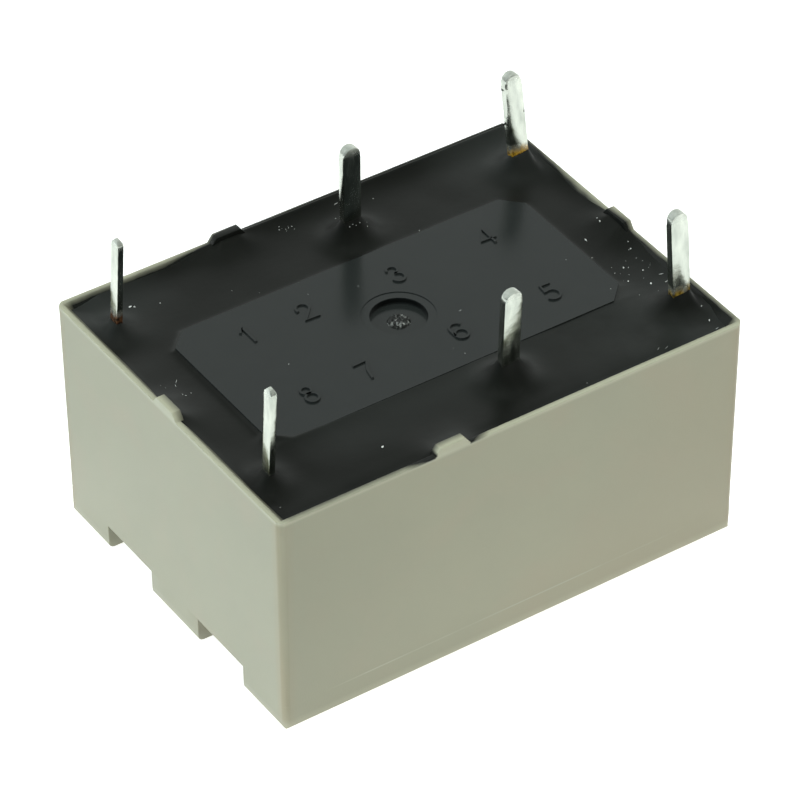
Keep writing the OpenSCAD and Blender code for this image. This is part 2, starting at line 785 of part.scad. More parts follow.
cover();
base();
sealing_resin();
coil_terminal_1();
coil_terminal_8();
contact_terminal_3();
contact_terminal_4();
contact_terminal_5();
contact_terminal_6();
coil_bobbin();
winding_left();
winding_right();
core();
coil_lead_1();
coil_lead_8();
coil_crossover();
armature_carrier();
armature_plate_front();
armature_plate_rear();
magnet();
make_spring();
break_spring();
make_moving_contact();
break_moving_contact();
make_fixed_contact();
break_fixed_contact();
make_spring_rivet();
break_spring_rivet();
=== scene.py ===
"""Looks of a sealed board power relay that stands on its cover with the pins up."""
import math
import random

import bmesh
import bpy
import numpy as np
from mathutils import Matrix, Vector, noise


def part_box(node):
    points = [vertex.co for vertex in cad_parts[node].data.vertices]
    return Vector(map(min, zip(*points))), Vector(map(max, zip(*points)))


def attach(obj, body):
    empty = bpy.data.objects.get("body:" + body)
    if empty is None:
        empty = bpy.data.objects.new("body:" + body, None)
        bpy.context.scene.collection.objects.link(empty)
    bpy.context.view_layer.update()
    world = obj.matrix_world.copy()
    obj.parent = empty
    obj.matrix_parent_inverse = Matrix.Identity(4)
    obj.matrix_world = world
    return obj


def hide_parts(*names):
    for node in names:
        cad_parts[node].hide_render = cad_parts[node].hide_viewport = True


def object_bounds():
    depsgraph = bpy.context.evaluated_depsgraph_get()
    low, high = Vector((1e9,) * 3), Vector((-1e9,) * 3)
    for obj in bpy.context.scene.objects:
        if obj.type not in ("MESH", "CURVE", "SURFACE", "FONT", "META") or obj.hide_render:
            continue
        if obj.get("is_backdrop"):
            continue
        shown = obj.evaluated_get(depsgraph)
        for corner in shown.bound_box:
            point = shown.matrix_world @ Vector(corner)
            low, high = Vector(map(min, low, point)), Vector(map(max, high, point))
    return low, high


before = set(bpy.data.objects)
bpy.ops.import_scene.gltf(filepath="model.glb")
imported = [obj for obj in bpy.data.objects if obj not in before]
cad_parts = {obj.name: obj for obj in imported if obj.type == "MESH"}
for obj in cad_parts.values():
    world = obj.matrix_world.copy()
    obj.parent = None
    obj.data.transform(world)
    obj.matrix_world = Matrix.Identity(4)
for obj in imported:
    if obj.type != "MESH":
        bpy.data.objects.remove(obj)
cad_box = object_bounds()
scene = bpy.context.scene

# Viewpoint. The camera stands high over the corner between the coil end and
# the near long side, far off with a long lens, as the photo was taken.
MM = 0.001
view_turn = math.radians(-33.72)
view_height = math.radians(39.30)
view_roll = math.radians(-0.35)
view_distance = 181.45 * MM
view_lift = 4.28 * MM
view_rise = 0.2 * MM
focal_pixels = 4838
photo_pixels = 800
sensor_width = 36
back = Vector((math.sin(view_turn) * math.cos(view_height), -math.cos(view_turn) * math.cos(view_height),
               math.sin(view_height)))
level = Vector((math.cos(view_turn), math.sin(view_turn), 0))
rise = back.cross(level)
across = level * math.cos(view_roll) + rise * math.sin(view_roll)
upward = rise * math.cos(view_roll) - level * math.sin(view_roll)
stand = upward * view_lift + back * view_distance + Vector((0, 0, view_rise))
camera = bpy.data.objects.new("camera", bpy.data.cameras.new("camera"))
camera.data.sensor_width = sensor_width
camera.data.lens = sensor_width * focal_pixels / photo_pixels
camera.data.clip_start = 0.01
camera.matrix_world = Matrix([[across[i], upward[i], back[i], stand[i]] for i in range(3)] + [[0, 0, 0, 1]])
scene.collection.objects.link(camera)
scene.camera = camera

# White sweep and soft light. The floor glows most close to the part, so it
# stays white there and throws light back up; the room is pale low down behind
# the part and dark by the camera, and no gloss shows the three wide lamps.
scene.view_settings.view_transform = "Standard"


class Socket:
    """A shader socket that can be used in sums, and from which any other node is made."""

    def __init__(self, tree, socket=None):
        self.tree = tree
        self.socket = socket

    def make(self, kind, settings, sockets, out=0):
        node = self.tree.nodes.new(kind)
        for name, value in settings.items():
            setattr(node, name, value)
        for name, value in sockets.items():
            if isinstance(value, Socket):
                self.tree.links.new(value.socket, node.inputs[name])
            else:
                node.inputs[name].default_value = value
        return Socket(self.tree, node.outputs[out])

    def maths(self, operation, first, second):
        return self.make("ShaderNodeMath", {"operation": operation}, {0: first, 1: second})

    def __add__(self, other):
        return self.maths("ADD", self, other)

    def __sub__(self, other):
        return self.maths("SUBTRACT", self, other)

    def __mul__(self, other):
        return self.maths("MULTIPLY", self, other)

    def __rsub__(self, other):
        return self.maths("SUBTRACT", other, self)

    def __abs__(self):
        return self.maths("ABSOLUTE", self, 0)

    __radd__ = __add__
    __rmul__ = __mul__


def eased(value, low, high, start, end):
    """Runs smoothly from start to end while a value runs from low to high."""
    return value.make("ShaderNodeMapRange", {"interpolation_type": "SMOOTHSTEP"},
                      {"Value": value, "From Min": low, "From Max": high, "To Min": start, "To Max": end})


world = bpy.data.worlds.new("studio")
world.use_nodes = True
ceiling = world.node_tree.nodes["Background"]
ceiling.inputs["Color"].default_value = (0.95, 1.0, 0.97, 1)
room = Socket(world.node_tree)
outlook = room.make("ShaderNodeTexCoord", {}, {}, "Generated")
towards_camera = room.make("ShaderNodeVectorMath", {"operation": "DOT_PRODUCT"},
                           {0: outlook, 1: (math.sin(view_turn), -math.cos(view_turn), 0)}, "Value")
upwards = room.make("ShaderNodeSeparateXYZ", {}, {"Vector": outlook}, "Z")
behind = eased(towards_camera, -0.35, 0.35, 1.0, 0.12)
low_down = eased(upwards, 0.42, 0.86, 0.66, 0.15)
world.node_tree.links.new((behind * low_down).socket, ceiling.inputs["Strength"])
scene.world = world
floor_width = 3
floor_drop = 0.02 * MM
bpy.ops.mesh.primitive_plane_add(size=floor_width, location=(0, 0, -floor_drop))
floor = bpy.context.object
floor.name = "floor"
sweep = bpy.data.materials.new("white sweep")
sweep.use_nodes = True
sweep_shader = sweep.node_tree.nodes["Principled BSDF"]
sweep_shader.inputs["Base Color"].default_value = (0.9, 0.9, 0.9, 1)
sweep_shader.inputs["Roughness"].default_value = 0.9
sweep_shader.inputs["Emission Strength"].default_value = 1.0
sweep_start = Socket(sweep.node_tree)
sweep_place = sweep_start.make("ShaderNodeTexCoord", {}, {}, "Object")
far_x, far_y = (abs(sweep_start.make("ShaderNodeSeparateXYZ", {}, {"Vector": sweep_place}, axis))
                for axis in "XY")
half_length, half_width, _ = cad_box[1]
glow_reach = 7 * MM
from_part = far_x.maths("MAXIMUM", far_x - half_length, 0) + far_y.maths("MAXIMUM", far_y - half_width, 0)
glow = eased(from_part, 0.0, glow_reach, 0.8, 0.36)
sweep.node_tree.links.new(glow.socket, sweep_shader.inputs["Emission Color"])
floor.data.materials.append(sweep)
floor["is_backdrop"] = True
lamp_width = 0.22
lamp_aim = Vector((0, 0, 0.005))
lamps = {"coil side lamp": ((-0.36, 0.02, 0.16), 0.9, (0.80, 0.93, 1.0)),
         "near side lamp": ((0.04, -0.36, 0.16), 0.43, (1.0, 0.99, 0.9)),
         "top lamp": ((0, 0, 0.42), 1.6, (0.95, 1.0, 0.95))}
for lamp_name, (lamp_place, lamp_power, lamp_colour) in lamps.items():
    lamp = bpy.data.objects.new(lamp_name, bpy.data.lights.new(lamp_name, "AREA"))
    lamp.data.size = lamp_width
    lamp.data.energy = lamp_power
    lamp.data.color = lamp_colour
    lamp.visible_glossy = False
    lamp.location = lamp_place
    lamp.rotation_euler = (lamp_aim - Vector(lamp_place)).to_track_quat("-Z", "Y").to_euler()
    scene.collection.objects.link(lamp)

# Cover. One moulding in sage grey plastic with a fine satin skin, open at the
# pin side; its rim carries four stand-off tabs and its closed end two notches.
BODY = "relay"


class Finish:
    """A material with one shader, its constants set directly, and a grid of the object in millimetres."""

    def __init__(self, name, **constants):
        self.material = bpy.data.materials.new(name)
        self.material.use_nodes = True
        self.tree = self.material.node_tree
        self.shader = self.tree.nodes["Principled BSDF"]
        for socket, value in constants.items():
            self.shader.inputs[socket.replace("_", " ")].default_value = value
        start = Socket(self.tree)
        place = start.make("ShaderNodeTexCoord", {}, {}, "Object")
        self.grid = start.make("ShaderNodeVectorMath", {"operation": "SCALE"},
                               {"Vector": place, "Scale": 1 / MM})

    def cloud(self, size, detail=2.0, drawn=1.0):
        """Noise from 0 to 1 whose lumps are about size millimetres wide and drawn times as tall."""
        spot = self.grid.make("ShaderNodeVectorMath", {"operation": "MULTIPLY"},
                              {0: self.grid, 1: (1 / size, 1 / size, 1 / size / drawn)})
        return self.grid.make("ShaderNodeTexNoise", {}, {"Vector": spot, "Scale": 1.0, "Detail": detail})

    def part_of_grid(self, axis):
        return self.grid.make("ShaderNodeSeparateXYZ", {}, {"Vector": self.grid}, axis)

    def between(self, factor, first, second):
        """Colour first where factor is 0, second where it is 1."""
        return self.grid.make("ShaderNodeMix", {"data_type": "RGBA"},
                              {"Factor": factor, 6: first, 7: second}, 2)

    def mottle(self, size, first, second):
        """Base colour that drifts between two tones over lumps about size millimetres wide."""
        self.feed(Base_Color=self.between(ramp(self.cloud(size, 3.0), 0.3, 0.7), first, second))

    def feed(self, **links):
        for socket, value in links.items():
            self.tree.links.new(value.socket, self.shader.inputs[socket.replace("_", " ")])

    def bump(self, height, depth):
        """Bump whose height runs from 0 to depth millimetres."""
        self.feed(Normal=self.grid.make("ShaderNodeBump", {}, {"Height": height, "Distance": depth * MM}))


def ramp(value, low, high):
    """0 below low, 1 above high, straight between."""
    return value.make("ShaderNodeMapRange", {"clamp": True},
                      {"Value": value, "From Min": low, "From Max": high})


def slices(shape, axis, places):
    """Cuts a mesh by planes across one axis, so that no face has a hole and pins can bend."""
    across_axis = [0, 0, 0]
    across_axis[axis] = 1
    for place in places:
        spot = [0, 0, 0]
        spot[axis] = place
        bmesh.ops.bisect_plane(shape, geom=shape.verts[:] + shape.edges[:] + shape.faces[:], plane_co=spot,
                               plane_no=across_axis, dist=1e-8)


def plain_copy(node):
    """A mesh of a CAD node, quartered so that no face has a hole."""
    shape = bmesh.new()
    shape.from_mesh(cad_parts[node].data)
    bmesh.ops.remove_doubles(shape, verts=shape.verts, dist=1e-7)
    bmesh.ops.dissolve_limit(shape, angle_limit=math.radians(1), verts=shape.verts, edges=shape.edges)
    low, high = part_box(node)
    for axis in (0, 1):
        slices(shape, axis, [(low[axis] + high[axis]) / 2])
    return shape


def round_edges(shape, rounding, steps=2):
    """Rounds the edges sharper than 40 degrees, by a length in metres."""
    sharp = math.radians(40)
    edges = [e for e in shape.edges if len(e.link_faces) == 2 and e.calc_face_angle() > sharp]
    bmesh.ops.bevel(shape, geom=edges, offset=rounding, offset_type="OFFSET", segments=steps, profile=0.5,
                    affect="EDGES", clamp_overlap=True)
    return shape


def piece(name, shape, finish, body, nodes=(), sharp=50):
    """A mesh as a piece that rides on a body and stands for some CAD nodes.

    Edges over sharp degrees stay crisp.
    """
    mesh = bpy.data.meshes.new(name)
    shape.to_mesh(mesh)
    shape.free()
    mesh.shade_smooth()
    mesh.set_sharp_from_angle(angle=math.radians(sharp))
    mesh.materials.append(finish.material)
    obj = bpy.data.objects.new(name, mesh)
    scene.collection.objects.link(obj)
    if sharp:
        obj.modifiers.new("even shading", "WEIGHTED_NORMAL").keep_sharp = True
    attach(obj, body)
    if nodes:
        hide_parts(*nodes)
    return obj


tab_height = 0.3 * MM
tab_middle = -2.75
tab_half = 0.75
cover_high = Vector(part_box("cover")[1])
rim_z = cover_high.z - tab_height
rim_mm = rim_z / MM
cover_finish = Finish("sage cover plastic", Specular_IOR_Level=0.4)
cover_x, cover_y, cover_z = (cover_finish.part_of_grid(axis) for axis in "XYZ")
# Painted light: a tan tint on the vertical corners, standing in for the band of light on their rounding.
lit_corner_tint = ramp(abs(cover_x), 9.35, 9.75) * ramp(abs(cover_y), 6.85, 7.25) * cover_finish.cloud(1.2, 3.0, 3.0)
blush = ramp(cover_finish.cloud(2.0, 3.0), 0.5, 0.75) * 0.5
rosy = ramp(cover_x + (5 - cover_z) * 0.8 + (cover_finish.cloud(4.0, 3.0) - 0.5) * 8, 1.0, 8.0) * 0.55
# The near face is painted darker towards the coil end.
near_face_darker = ramp(0 - cover_x, 2.0, 9.0) * ramp(0 - cover_y, 7.3, 7.45) * 0.5
# Painted highlight: the rim's outer edge and the bottom edge are painted lighter, where their rounding
# catches light from above and from the floor.
edge_highlight = ramp(cover_z, rim_mm - 0.18, rim_mm - 0.02) + (1 - ramp(cover_z, 0.05, 0.5)) * 0.7

mould_line = 1.1
line_width = 0.03
line_step = 0.012
from_line = abs(cover_z - mould_line - line_width / 2)
# A lighter line painted along the mould line: partly the whitish flash of the parting line, partly painted
# highlight for the light its small ledge catches.
flash_and_highlight = (1 - ramp(from_line, line_width / 2, line_width)) * ramp(abs(cover_y), 7.2, 7.3)
flash_and_highlight = flash_and_highlight * ramp(cover_finish.cloud(2.5), 0.35, 0.6) * (1 - ramp(cover_x, 3.0, 8.0)) * 0.5

film_gap = 0.02
tab_left = tab_middle - tab_half - film_gap
tab_right = tab_middle + tab_half + film_gap
film_edge = (cover_finish.cloud(0.9, 3.0) - 0.5) * 0.12
near_rim = 7.40 + (1 - ramp(cover_x, -4.6, -2.6)) * 0.17
for beyond_tab, fade_out in ((cover_x - tab_right, 0.9), (tab_left - cover_x, 1.2)):
    beside_tab = ramp(beyond_tab, -0.08, 0.0) * (1 - ramp(beyond_tab, 0.1, fade_out))
    near_rim = near_rim + beside_tab * (1 - ramp(cover_z, rim_mm, rim_mm + 0.04)) * 0.42
far_rim = 7.47 + ramp(cover_x, -5.5, -2.5) * 0.24
right_rim = 10.0 + ramp(cover_y, 2.5, 5.5) * 0.2 + (1 - ramp(cover_y, -1.0, 0.6)) * 0.08
left_rim = 9.93
below_rim = 1 - ramp(cover_z, rim_mm - 0.08, rim_mm - 0.03)
film = ramp(cover_z, rim_mm - 0.6, rim_mm - 0.5)
film = film * (1 - ramp(abs(cover_y), 7.40, 7.46) * below_rim) * (1 - ramp(cover_x, 9.90, 9.96) * below_rim)
for outward, film_end, fade in ((cover_x, right_rim, 0.3), (0 - cover_x, left_rim, 0.45),
                                (cover_y, far_rim, 0.28), (0 - cover_y, near_rim, 0.35)):
    film = film * ramp(film_end + film_edge - outward, 0.0, fade)
# The sloped left end of the near tab is painted near black: resin film there, with painted shade darker than
# the film so the slope does not catch the lamp's light.
tab_end_shade = ramp(0 - cover_y, 7.0, 7.05) * ramp(cover_z, rim_mm - 0.02, rim_mm + 0.02)
tab_end_shade = tab_end_shade * (1 - ramp(cover_x, -3.45, -3.38)) * ramp(cover_x, -4.0, -3.9)

cover_colour = cover_finish.between(cover_finish.cloud(3.0, 4.0), (0.246, 0.246, 0.178, 1),
                                    (0.276, 0.272, 0.194, 1))
for mask, colour in ((lit_corner_tint, (0.272, 0.232, 0.147, 1)), (blush, (0.282, 0.256, 0.186, 1)),
                     (rosy, (0.272, 0.250, 0.176, 1)), (near_face_darker, (0.223, 0.225, 0.163, 1)),
                     (edge_highlight, (0.35, 0.35, 0.262, 1)), (flash_and_highlight, (0.38, 0.38, 0.30, 1)),
                     (film, (0.009, 0.0101, 0.0088, 1)), (tab_end_shade, (0.003, 0.0033, 0.003, 1))):
    cover_colour = cover_finish.between(mask, cover_colour, colour)
cover_finish.feed(Base_Color=cover_colour, Roughness=0.42 - film * 0.15)
cover_finish.bump(cover_finish.cloud(0.05, 3.0), 0.004)

tab_step = 0.03 * MM
cover_round = 0.07 * MM
cover_shape = plain_copy("cover")
slices(cover_shape, 0, [(tab_middle - tab_half) * MM, (tab_middle + tab_half) * MM])
slices(cover_shape, 1, [-tab_half * MM, tab_half * MM])
for v in cover_shape.verts:
    if v.co.z > rim_z - 1e-6:
        for axis, edge in ((0, cover_high.x), (1, cover_high.y)):
            if abs(abs(v.co[axis]) - edge) < tab_step:
                v.co[axis] = math.copysign(edge, v.co[axis])
bmesh.ops.remove_doubles(cover_shape, verts=cover_shape.verts, dist=1e-6)
round_edges(cover_shape, cover_round, 3)
slices(cover_shape, 2, [mould_line * MM, (mould_line + line_width) * MM])
line_start = 7.05
line_fade = 0.3
for v in cover_shape.verts:
    if v.co.z < (mould_line + line_width / 2) * MM:
        outer = min(1, max(0, (abs(v.co.y) / MM - line_start) / line_fade))
        v.co.y += math.copysign(line_step * outer * MM, v.co.y)
piece("cover", cover_shape, cover_finish, BODY, ["cover"])

# Base. A dark moulded plate; its raised field shows through the resin with the
# terminal numbers standing proud and the breathing hole melted shut.
field_z = Vector(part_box("base")[1]).z
field_mm = field_z / MM
base_finish = Finish("dark base plastic", Specular_IOR_Level=0.62)
base_cloud = base_finish.cloud(1.2, 4.0)
base_z = base_finish.part_of_grid("Z")
# Painted shade: the wall of the breathing hole is painted near black, as the shade inside the hole.
vent_wall_shade = (ramp(base_z, field_mm - 0.28, field_mm - 0.22)
             - ramp(base_z, field_mm - 0.09, field_mm - 0.05))
base_plastic = base_finish.between(base_cloud, (0.0136, 0.0160, 0.0156, 1), (0.0168, 0.0193, 0.0187, 1))
base_finish.feed(Base_Color=base_finish.between(vent_wall_shade * 0.8, base_plastic, (0.001, 0.001, 0.001, 1)),
                 Roughness=ramp(base_cloud, 0.2, 0.8) * 0.06 + 0.15)
base_finish.bump(base_finish.cloud(0.06, 3.0), 0.0015)
piece("base", plain_copy("base"), base_finish, BODY, ["base"], 0)

number_height = 0.92 * MM
stroke_foot = 0.062 * MM
stroke_top = 0.042 * MM
stroke_rise = 0.07 * MM
stroke_sink = 0.02 * MM


def arc(x, y, radius, start, end):
    """Points on an arc, angles in degrees; the number box is 1 high."""
    count = max(3, int(abs(end - start) / 15))
    turns = [math.radians(start + (end - start) * i / count) for i in range(count + 1)]
    return [(x + radius * math.cos(t), y + radius * math.sin(t)) for t in turns]


NUMBERS = {
    1: [[(0.12, 0.76), (0.34, 1.0), (0.34, 0.0)]],
    2: [arc(0.30, 0.72, 0.28, 195, -35) + [(0.02, 0.0), (0.62, 0.0)]],
    3: [arc(0.28, 0.77, 0.23, 170, -90) + arc(0.28, 0.27, 0.27, 90, -165)],
    4: [[(0.46, 0.0), (0.46, 1.0), (0.0, 0.30), (0.64, 0.30)]],
    5: [[(0.55, 1.0), (0.14, 1.0)] + arc(0.29, 0.31, 0.31, 128, -150)],
    6: [arc(0.33, 0.68, 0.30, 30, 180) + arc(0.31, 0.28, 0.28, 180, 540)],
    7: [[(0.0, 1.0), (0.58, 1.0), (0.32, 0.5), (0.22, 0.0)]],
    8: [arc(0.30, 0.75, 0.22, -90, 270), arc(0.30, 0.27, 0.27, 90, 450)]}
number_places = {1: (-5.16, 2.07), 2: (-2.7, 2.06), 3: (1.26, 2.06), 4: (5.23, 2.05),
                 5: (5.32, -2.0), 6: (1.25, -2.0), 7: (-2.73, -2.02), 8: (-5.18, -2.0)}


def raised_stroke(shape, points, centre):
    """A low ridge with sloping sides along a line of points in the number box."""
    spots = [Vector(((px - 0.3) * number_height, (py - 0.5) * number_height)) for px, py in points]
    rows = []
    for i, spot in enumerate(spots):
        ahead = (spots[min(i + 1, len(spots) - 1)] - spots[max(i - 1, 0)]).normalized()
        side = Vector((-ahead.y, ahead.x))
        ends = ahead * (stroke_foot if i == len(spots) - 1 else -stroke_foot if i == 0 else 0)
        row = []
        for reach, lift in ((stroke_foot, -stroke_sink), (stroke_top, stroke_rise),
                            (-stroke_top, stroke_rise), (-stroke_foot, -stroke_sink)):
            flat = spot + side * reach + (ends if lift < 0 else ends * 0.3)
            row.append(shape.verts.new((centre[0] * MM + flat.x, centre[1] * MM + flat.y, field_z + lift)))
        rows.append(row)
    for near, far in zip(rows, rows[1:]):
        for k in range(4):
            shape.faces.new((near[k], far[k], far[(k + 1) % 4], near[(k + 1) % 4]))
    shape.faces.new(rows[0])
    shape.faces.new(rows[-1][::-1])


numbers_shape = bmesh.new()
for number, strokes in NUMBERS.items():
    for stroke in strokes:
        raised_stroke(numbers_shape, stroke, number_places[number])
bmesh.ops.recalc_face_normals(numbers_shape, faces=numbers_shape.faces)
piece("terminal_numbers", numbers_shape, base_finish, BODY)

vent_depth = 0.3 * MM
seal_sink = 0.03 * MM
seal_radius = 0.46 * MM
seal_rise = 0.2 * MM
seal_finish = Finish("melted vent seal", Roughness=0.16)
# Painted glints: bright specks painted into the seal's colour.
seal_glints = ramp(seal_finish.cloud(0.12, 3.0), 0.5, 0.68)
seal_finish.feed(Base_Color=seal_finish.between(seal_glints, (0.014, 0.015, 0.014, 1), (0.24, 0.25, 0.24, 1)))
seal_shape = bmesh.new()
bmesh.ops.create_grid(seal_shape, x_segments=60, y_segments=60, size=seal_radius * 1.05)
for v in seal_shape.verts:
    outward = min(1.0, Vector((v.co.x, v.co.y)).length / seal_radius)
    lump = noise.noise(v.co * 9 / MM) * 0.35 + noise.noise(v.co * 19 / MM) * 0.25
    v.co.z = field_z - vent_depth - seal_sink + seal_rise * (1 - outward ** 3) * (1 + lump)
bmesh.ops.holes_fill(seal_shape, edges=[e for e in seal_shape.edges if e.is_boundary])
bmesh.ops.recalc_face_normals(seal_shape, faces=seal_shape.faces)
piece("vent_seal", seal_shape, seal_finish, BODY)

# Sealing resin. Black casting resin poured round the raised field; it creeps
# up the wall, over the rim in places, and up the foot of every pin.
resin_level = rim_z - 0.28 * MM
resin_foot = Vector(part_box("sealing_resin")[0]).z + 0.02 * MM
resin_step = 0.07 * MM
wall_x = 9.8 * MM
wall_y = 7.3 * MM
wall_round = 0.25 * MM
over_wall = 0.17 * MM
resin_x = wall_x + over_wall
resin_y = wall_y + over_wall
field_x = 7.7 * MM
field_y = 3.7 * MM
field_cut = 0.75 * MM
wall_climb = 0.36 * MM
wall_drape = 0.28 * MM
near_strip_rise = 0.12 * MM
near_fillet = 0.30 * MM
far_fillet = 0.08 * MM
clear_of_wall = 0.6 * MM
tab_film_rise = 0.12 * MM
tab_film_drape = 0.06 * MM
tab_film_reach = 0.55 * MM
pin_row = 5.08
pin_end = 8.89
pin_inner = 1.27
coil_pin = (0.15, 0.25)
contact_pin = (0.4, 0.2)
# Each pin has its middle x and y, half its width and depth, and the climb of the resin on it.
pins = {"coil_terminal_1": (-pin_end, pin_row, *coil_pin, 0.60),
        "contact_terminal_3": (pin_inner, pin_row, *contact_pin, 0.92),
        "contact_terminal_4": (pin_end, pin_row, *contact_pin, 0.74),
        "contact_terminal_5": (pin_end, -pin_row, *contact_pin, 0.64),
        "contact_terminal_6": (pin_inner, -pin_row, *contact_pin, 0.92),
        "coil_terminal_8": (-pin_end, -pin_row, *coil_pin, 0.55)}
# Each tab's foot is a flat box: its middle x and y, and half its width and depth.
tab_places = [(tab_middle, 7.31, 0.38, 0.15), (tab_middle, -7.31, 0.38, 0.15), (9.81, 0, 0.15, 0.38),
              (-9.81, 0, 0.15, 0.38)]


def box_gap(x, y, box):
    """Distance in metres from points to a flat box (middle x, middle y, half x, half y) in millimetres."""
    dx = np.maximum(np.abs(x - box[0] * MM) - box[2] * MM, 0)
    dy = np.maximum(np.abs(y - box[1] * MM) - box[3] * MM, 0)
    return np.hypot(dx, dy)


def blade_gap(x, y, box):
    """Distance in metres from points to the round-ended bar that just fits inside such a box."""
    thin = min(box[2], box[3])
    return np.maximum(box_gap(x, y, (box[0], box[1], box[2] - thin, box[3] - thin)) - thin * MM, 0)


def wave(x, y, size, seed):
    """Slow smooth noise over points, from -1 to 1."""
    return np.array([noise.noise((a / (size * MM), b / (size * MM), seed)) for a, b in zip(x, y)])


def share_of_way(value, start, end):
    """0 up to start, 1 from end on, straight between."""
    return np.clip((value - start) / (end - start), 0, 1)


def smooth(share):
    """Eases a share at both ends."""
    return share * share * (3 - 2 * share)


def resin_surface(x, y):
    """Height of the resin in metres over points."""
    inset_x = np.abs(x) - (wall_x - wall_round)
    inset_y = np.abs(y) - (wall_y - wall_round)
    past_round = np.hypot(np.maximum(inset_x, 0), np.maximum(inset_y, 0))
    to_wall = wall_round - past_round - np.minimum(np.maximum(inset_x, inset_y), 0)
    far = share_of_way(y, 2.5 * MM, 5.5 * MM) * share_of_way(x, -5.5 * MM, -2.5 * MM)
    flood = -0.06 + 0.08 * far + 0.02 * wave(x, y, 2.6, 8.0) + 0.008 * wave(x, y, 0.7, 21.0)
    flood -= np.maximum(0.22 * share_of_way(-y, wall_y - 1.4 * MM, wall_y - 0.4 * MM),
                        0.11 * share_of_way(-x, wall_x - 1.4 * MM, wall_x - 0.4 * MM))
    for place in tab_places:
        flood += 0.03 * np.exp(-box_gap(x, y, place) / (1.2 * MM))
    height = resin_level + wave(x, y, 1.6, 3.0) * 0.02 * MM
    beside_field = smooth(share_of_way(-np.abs(x), -field_x - MM, -field_x + 0.8 * MM))
    height += (near_strip_rise * beside_field * share_of_way(y, -wall_y, -field_y)
               * share_of_way(-y, field_y - MM, field_y))
    height += (rim_z - resin_level + flood * MM) * np.exp(-np.maximum(to_wall, 0) / wall_climb)
    height -= np.where(to_wall < 0, to_wall * to_wall / wall_drape, 0)
    cut = (np.abs(x) + np.abs(y) - (field_x + field_y - field_cut)) * math.sqrt(0.5)
    past_field = np.maximum(np.maximum(np.abs(x) - field_x, np.abs(y) - field_y), cut)
    near_edge = share_of_way(-y, 0, field_y) ** 2 * np.clip(0.4 + 0.6 * x / field_x, 0, 1)
    right_edge = 0.7 * share_of_way(x, 0, field_x) ** 2
    lap = -0.006 - 0.045 * np.maximum(near_edge, right_edge) * (1 + 0.5 * wave(x, y, 1.4, 5.0))
    lap += 0.06 * np.exp(-np.hypot(x + field_x, y + field_y) / (1.3 * MM))
    away = share_of_way(y, -field_y, MM - field_y)
    fillet = near_fillet + (far_fillet - near_fillet) * away
    height += (field_z - height + (lap - 0.05 * away) * MM) * np.exp(-np.maximum(past_field, 0) / fillet)
    height += np.where(past_field < 0, past_field * 0.15, 0)
    off_wall = smooth(share_of_way(to_wall, 0, clear_of_wall))
    for *place, climb in pins.values():
        gap = blade_gap(x, y, place) / MM
        cone = 0.7 * np.exp(-gap / 0.27) + 0.3 * np.exp(-(gap / 0.65) ** 2)
        height += climb * MM * cone * off_wall
    for place in tab_places:
        coat = np.maximum(rim_z + tab_film_rise - height, 0) * np.exp(np.minimum(to_wall, 0) / tab_film_drape)
        height += coat * np.exp(-box_gap(x, y, place) / tab_film_reach)
    return height


count_x = int(2 * resin_x / resin_step)
count_y = int(2 * resin_y / resin_step)
grid_x, grid_y = np.meshgrid(np.linspace(-resin_x, resin_x, count_x), np.linspace(-resin_y, resin_y, count_y))
rx = grid_x.ravel()
ry = grid_y.ravel()
past_x = np.maximum(np.abs(rx) - (wall_x - wall_round), 0)
past_y = np.maximum(np.abs(ry) - (wall_y - wall_round), 0)
pull = 1 - np.minimum(1, (wall_round + resin_x - wall_x) / np.maximum(np.hypot(past_x, past_y), 1e-9))
rx -= np.sign(rx) * past_x * pull
ry -= np.sign(ry) * past_y * pull
resin_points = list(zip(rx, ry, resin_surface(rx, ry)))
edge_ring = list(range(count_x)) + [j * count_x + count_x - 1 for j in range(1, count_y)]
edge_ring += [(count_y - 1) * count_x + i for i in range(count_x - 2, -1, -1)]
edge_ring += [j * count_x for j in range(count_y - 2, 0, -1)]
quads = [(j * count_x + i, j * count_x + i + 1, (j + 1) * count_x + i + 1, (j + 1) * count_x + i)
         for j in range(count_y - 1) for i in range(count_x - 1)]
foot_share_x = 0.965
foot_share_y = 0.955
first_foot = len(resin_points)
resin_points += [(rx[i] * foot_share_x, ry[i] * foot_share_y, resin_foot) for i in edge_ring]
ring = len(edge_ring)
quads += [(edge_ring[k], first_foot + k, first_foot + (k + 1) % ring, edge_ring[(k + 1) % ring])
          for k in range(ring)]
resin_mesh = bpy.data.meshes.new("resin surface")
resin_mesh.from_pydata(resin_points, [], quads + [tuple(first_foot + k for k in range(ring - 1, -1, -1))])
resin_shape = bmesh.new()
resin_shape.from_mesh(resin_mesh)
bmesh.ops.recalc_face_normals(resin_shape, faces=resin_shape.faces)
resin_finish = Finish("black casting resin", Specular_IOR_Level=0.36)
resin_cloud = resin_finish.cloud(0.9, 4.0)
resin_black = resin_finish.between(ramp(resin_finish.cloud(2.2, 3.0), 0.3, 0.7), (0.0050, 0.0056, 0.0046, 1),
                                   (0.0066, 0.0074, 0.0062, 1))
resin_grid_x, resin_grid_y = (resin_finish.part_of_grid(axis) for axis in "XY")
pin_feet = 0
for px, py, half_x, half_y, _ in pins.values():
    beside_x = abs(resin_grid_x - px) - half_x
    beside_y = abs(resin_grid_y - py) - half_y
    beside = beside_x.maths("MAXIMUM", beside_x, 0) + beside_y.maths("MAXIMUM", beside_y, 0)
    pin_feet = pin_feet + (1 - ramp(beside, 0.3, 1.3))
